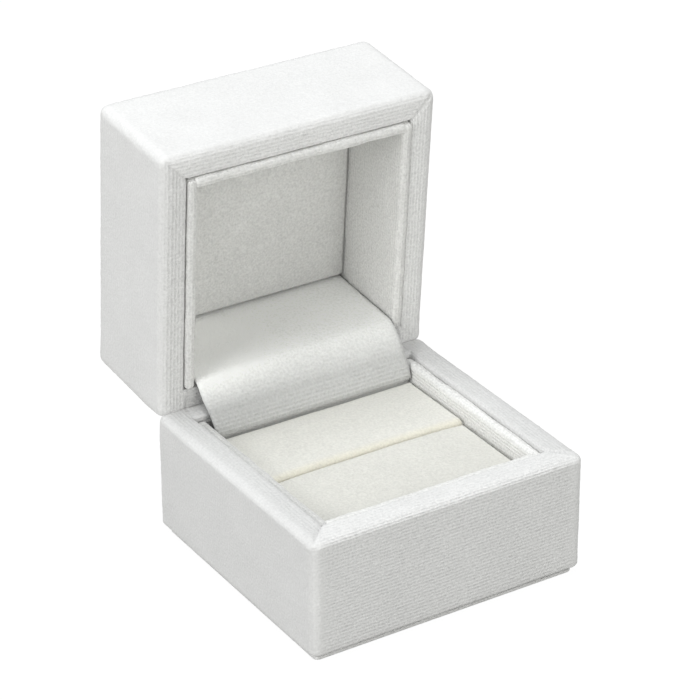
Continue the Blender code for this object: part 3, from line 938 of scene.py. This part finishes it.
# Pad in the lid's top.
# A card with thin wadding and velvet, pressed in between the linings.
LID_PAD_CROWN = 0.0008
LID_PAD_ROUND = 0.0008
LID_PAD_SHADE = 0.18
low, high = shut_box("lid_pad")
lid_panel = start_block("lid_top_padding", low, high)
bpy.ops.object.mode_set(mode="EDIT")
bpy.ops.mesh.select_all(action="SELECT")
round_edges(LID_PAD_ROUND, steps=3)
bpy.ops.object.mode_set(mode="OBJECT")
cut_into_cloth(lid_panel, PAD_PITCH)
middle, half = (low + high) / 2, (high - low) / 2
tones = []
for vertex in lid_panel.data.vertices:
    across = (vertex.co.x - middle.x) / half.x
    along = (vertex.co.y - middle.y) / half.y
    lowness = (high.z - vertex.co.z) / (high.z - low.z)
    swell = (1.0 - across**6) * (1.0 - along**6)
    vertex.co.z += LID_PAD_CROWN * (1.0 - swell) * lowness
    # Painted shade: the pad is made darker towards its lower right corner with the lid open.
    tones.append(1.0 - LID_PAD_SHADE * max(0.0, (across + along) / 2))
put_value(lid_panel, "rib", 0.0)
put_value(lid_panel, "rib_depth", 0.0)
put_values(lid_panel, "painted_shading", tones)
roughen(lid_panel, 41.0, wave=0.00005, wave_size=0.008, fuzz=0.00003, fuzz_size=0.0010)
bpy.ops.object.shade_smooth()
swing_open(lid_panel)
dress(lid_panel, lining_velvet, "lining_velvet", "lid", "lid_pad")


# Flap over the hinge.
# A strip of the white velvet is caught under the lid pad, runs forward, bends
# down over the hinge and tucks in behind the rear cushion.
FLAP_THICK = 0.0006
FLAP_BEND = 0.0025
FLAP_SAG = 0.0014
FLAP_BULGE = 0.0007
FLAP_BULGE_RISE = 0.0003
FLAP_STEPS = 9
SEAM_GAP = 0.0007
TUCK_GAP = 0.0004
CREST_AT = 0.75
CREST_WIDTH = 0.35
FLAP_UPPER_FROM = 0.45
FLAP_FOOT_PAINTED_SHADE = 0.755
FLAP_LEFT_SHADE = 0.11
FLAP_UPPER_PAINTED_LIGHT = 0.45
FLAP_UPPER_LEFT_PAINTED_LIGHT = 0.30
flap_low, flap_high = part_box("hinge_flap")
pad_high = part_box("rear_pad_cover")[1]
flap_base_y = pad_high[1] + TUCK_GAP + FLAP_THICK / 2
flap_lid_y = shut_box("lid_pad")[1].y + SEAM_GAP + FLAP_THICK / 2
tail = Vector((0.0, flap_base_y, flap_low[2]))
pad_level = Vector((0.0, flap_base_y, pad_high[2]))
belly = Vector((0.0, flap_base_y - FLAP_BULGE, pad_high[2] + FLAP_BULGE_RISE))
shelf = to_open @ Vector((0.0, flap_lid_y, lid_low.z + GLUE_LINE))
head = to_open @ Vector((0.0, flap_lid_y, shut_box("lid_pad_card")[1].z))
rise = (pad_level - tail) / 3
swell_up = Vector((0.0, 0.0, (belly.z - pad_level.z) / 3))
lift = Vector((0.0, 0.0, FLAP_BEND))
run = (head - shelf) / 3
reach = run.normalized() * FLAP_BEND
flap_knots = (
    (tail, tail + rise, pad_level - rise, pad_level),
    (pad_level, pad_level + swell_up, belly - swell_up, belly),
    (belly, belly + lift, shelf - reach, shelf),
    (shelf, shelf + run, head - run, head),
)


def along_curve(start, leave, arrive, end, steps):
    """Points of a Bezier stretch, without its first."""
    points = []
    for i in range(1, steps + 1):
        t = i / steps
        s = 1.0 - t
        points.append(s**3 * start + 3 * s**2 * t * leave + 3 * s * t**2 * arrive + t**3 * end)
    return points


flap_path = [tail]
for stretch in flap_knots:
    flap_path += along_curve(*stretch, FLAP_STEPS)
flap_width = flap_high[0] - flap_low[0]


def strip_along(name, path, width):
    """A strip of sheet: one edge of a plane, drawn out along a path across its width."""
    bpy.ops.object.select_all(action="DESELECT")
    bpy.ops.mesh.primitive_plane_add(size=width, location=path[0])
    strip = bpy.context.object
    strip.name = name
    strip.data.name = name
    bpy.ops.object.transform_apply(location=True, rotation=True, scale=True)
    bpy.ops.object.mode_set(mode="EDIT")
    select_where(strip, "EDGE", lambda e: all(v.co.y > path[0].y for v in e.verts))
    bpy.ops.mesh.select_all(action="INVERT")
    bpy.ops.mesh.delete(type="EDGE_FACE")
    select_where(strip, "EDGE", lambda e: True)
    bpy.ops.transform.translate(value=(0.0, -width / 2, 0.0))
    for here, there in zip(path, path[1:]):
        bpy.ops.mesh.extrude_region_move(TRANSFORM_OT_translate={"value": there - here})
    bpy.ops.mesh.select_all(action="SELECT")
    bpy.ops.mesh.delete_loose(use_verts=True, use_edges=True, use_faces=False)
    bpy.ops.mesh.select_all(action="SELECT")
    bpy.ops.mesh.normals_make_consistent(inside=False)
    bpy.ops.object.mode_set(mode="OBJECT")
    return strip


flap = strip_along("velvet_flap", flap_path, flap_width)
cut_into_cloth(flap, PAD_PITCH)
ribs, depths, tones = [], [], []
normals = [vertex.normal.copy() for vertex in flap.data.vertices]
for vertex, normal in zip(flap.data.vertices, normals):
    ribs.append(vertex.co.z)
    bend = (vertex.co.z - belly.z) / (shelf.z - belly.z)
    depths.append(clamp(1.0 - bend))
    crest = math.exp(-(((bend - CREST_AT) / CREST_WIDTH) ** 2))
    # Painted light and shade on the flap: darker at its foot and towards its left, lighter over the bend
    # and the shelf above it.
    upper = clamp((bend - FLAP_UPPER_FROM) / (1.0 - FLAP_UPPER_FROM))
    leftward = max(0.0, -2.0 * vertex.co.x / flap_width)
    painted_light = (FLAP_UPPER_PAINTED_LIGHT + FLAP_UPPER_LEFT_PAINTED_LIGHT * leftward) * upper
    tones.append(FLAP_FOOT_PAINTED_SHADE - FLAP_LEFT_SHADE * leftward + painted_light)
    vertex.co -= normal * (FLAP_SAG * leftward**2 * crest)
put_values(flap, "rib", ribs)
put_values(flap, "rib_depth", depths)
put_values(flap, "painted_shading", tones)
roughen(flap, 51.0, wave=0.00008, wave_size=0.008, fuzz=0.00005, fuzz_size=0.0010)
give_thickness(flap, FLAP_THICK, 0.0)
bpy.ops.object.shade_smooth()
# A lighter copy of the white velvet: painted light on the flap.
flap_velvet_painted_light = velvet(
    "flap_velvet_painted_light",
    tone=(0.82, 0.825, 0.81),
    mottle=0.14,
    speckle=0.40,
    pile_lift=0.00020,
    rib_lift=0.00005,
    rib_shade=0.05,
    sheen=0.4,
)
dress(flap, flap_velvet_painted_light, "white_velvet", None, "hinge_flap")
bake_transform(flap)


# Boards, foam and hinge inside.
# Fibre board, soft foam and strip steel, seen only where a gap lets the eye in
# and, with the lid shut, as the knuckles of the hinge at the back.
def plain_finish(name, tone, mottle, speckle, roughness, metallic, lift):
    """A bare material with a little grain."""
    finish = bpy.data.materials.new(name)
    finish.use_nodes = True
    tree = finish.node_tree
    shader = tree.nodes["Principled BSDF"]
    shader.inputs["Roughness"].default_value = roughness
    shader.inputs["Metallic"].default_value = metallic
    surface = tree.nodes.new("ShaderNodeGroup")
    surface.node_tree = pile_group
    surface.inputs["Tone"].default_value = (*tone, 1.0)
    surface.inputs["Mottle"].default_value = mottle
    surface.inputs["Speckle"].default_value = speckle
    tree.links.new(surface.outputs["Colour"], shader.inputs["Base Color"])
    raised = tree.nodes.new("ShaderNodeBump")
    raised.inputs["Distance"].default_value = lift
    tree.links.new(surface.outputs["Height"], raised.inputs["Height"])
    tree.links.new(raised.outputs["Normal"], shader.inputs["Normal"])
    return finish


inner_finishes = {
    "board": plain_finish("fibre_board", (0.45, 0.43, 0.40), 0.15, 0.20, 0.90, 0.0, 0.00010),
    "card": plain_finish("grey_card", (0.50, 0.49, 0.47), 0.10, 0.15, 0.90, 0.0, 0.00005),
    "foam": plain_finish("soft_foam", (0.82, 0.81, 0.77), 0.06, 0.25, 0.90, 0.0, 0.00020),
    "hinge": plain_finish("strip_steel", (0.62, 0.62, 0.63), 0.10, 0.08, 0.35, 1.0, 0.00002),
}
for node_name, node in frame["nodes"].items():
    for word, finish in inner_finishes.items():
        if word in node_name:
            node.data.materials.clear()
            node.data.materials.append(finish)


# Bow spring.
# A bow of spring steel between the toes of the two hinge leaves snaps the lid
# open and shut, hidden behind the flap.
SPRING_THICK = 0.0004
SPRING_SEAT_GAP = 0.0004
SPRING_BOW = 0.0065
SPRING_STEPS = 24
spring_low, spring_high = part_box("hinge_spring")
leaf_foot = Vector((0.0, leaf_low[1] - SPRING_SEAT_GAP - SPRING_THICK / 2, spring_low[2]))
foot_drop = hinge.z - leaf_foot.z
spring_head = to_open @ Vector((0.0, leaf_foot.y, hinge.z + foot_drop))
chord = spring_head - leaf_foot
bow_out = Vector((0.0, -chord.z, chord.y)).normalized()
spring_path = []
for i in range(SPRING_STEPS + 1):
    share = i / SPRING_STEPS
    arch = SPRING_BOW * 4.0 * share * (1.0 - share)
    spring_path.append(leaf_foot + chord * share + bow_out * arch)
spring = strip_along("bow_spring", spring_path, spring_high[0] - spring_low[0])
give_thickness(spring, SPRING_THICK, 0.0)
bpy.ops.object.shade_smooth()
dress(spring, inner_finishes["hinge"], "hinge_steel", None, "hinge_spring")
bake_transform(spring)


# Sizes of the pieces shown.
low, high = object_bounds()
